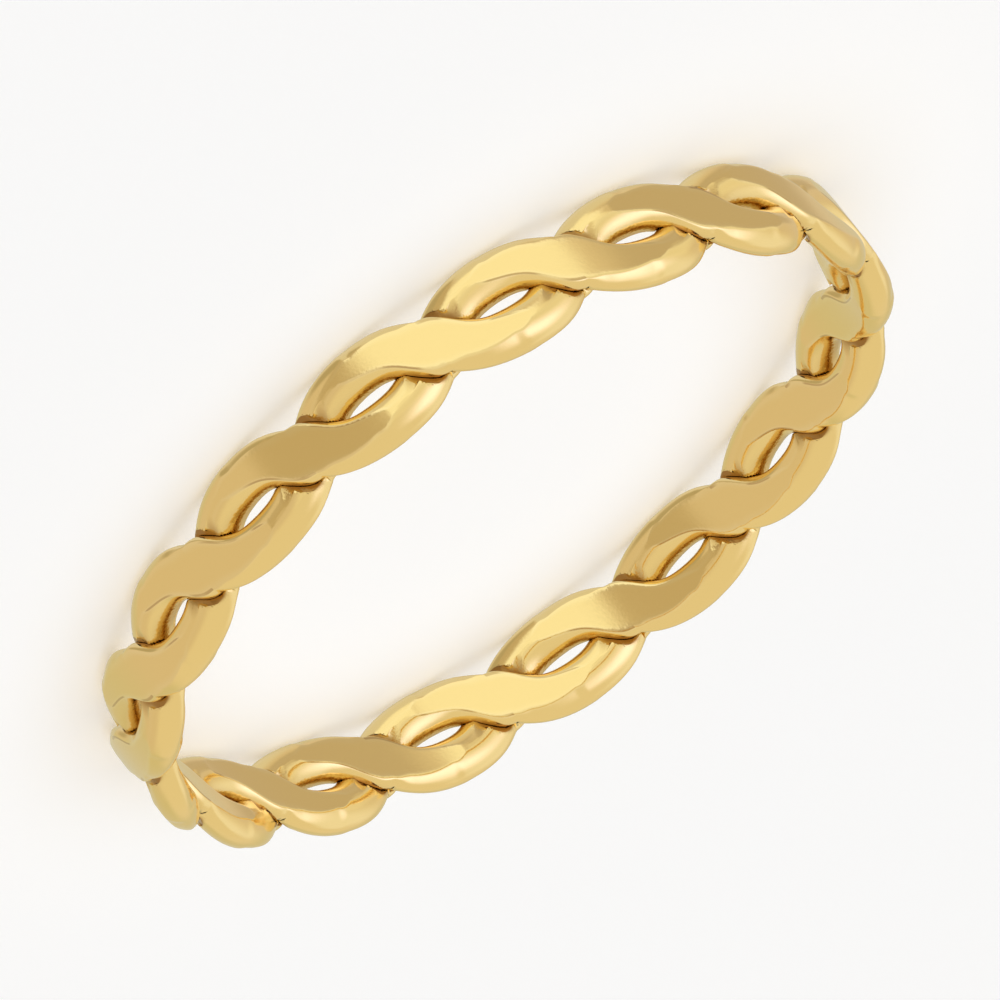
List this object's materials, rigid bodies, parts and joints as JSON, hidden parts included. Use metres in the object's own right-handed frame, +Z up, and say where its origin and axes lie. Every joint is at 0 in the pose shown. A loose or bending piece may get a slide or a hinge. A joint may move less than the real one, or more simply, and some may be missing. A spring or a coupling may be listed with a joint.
{
  "type": "twisted stacking ring",
  "caption": "Slim gold finger ring of paired strands, pressed flat and twisted into an openwork band with small eye-shaped gaps between the crossings.",
  "frame": {"origin": "Under the middle of the finger hole, in the plane of the surface that the ring lies on", "axes": "+Z up along the finger, from the surface the ring lies on; +X from the middle of the hole towards the seam where the strands close"},
  "size_m": [0.019, 0.019, 0.0023],
  "materials": {
    "gold": "polished 14 carat yellow gold"
  },
  "bodies": {
    "root": {"strand_one": "gold", "strand_two": "gold"}
  },
  "joints": []
}
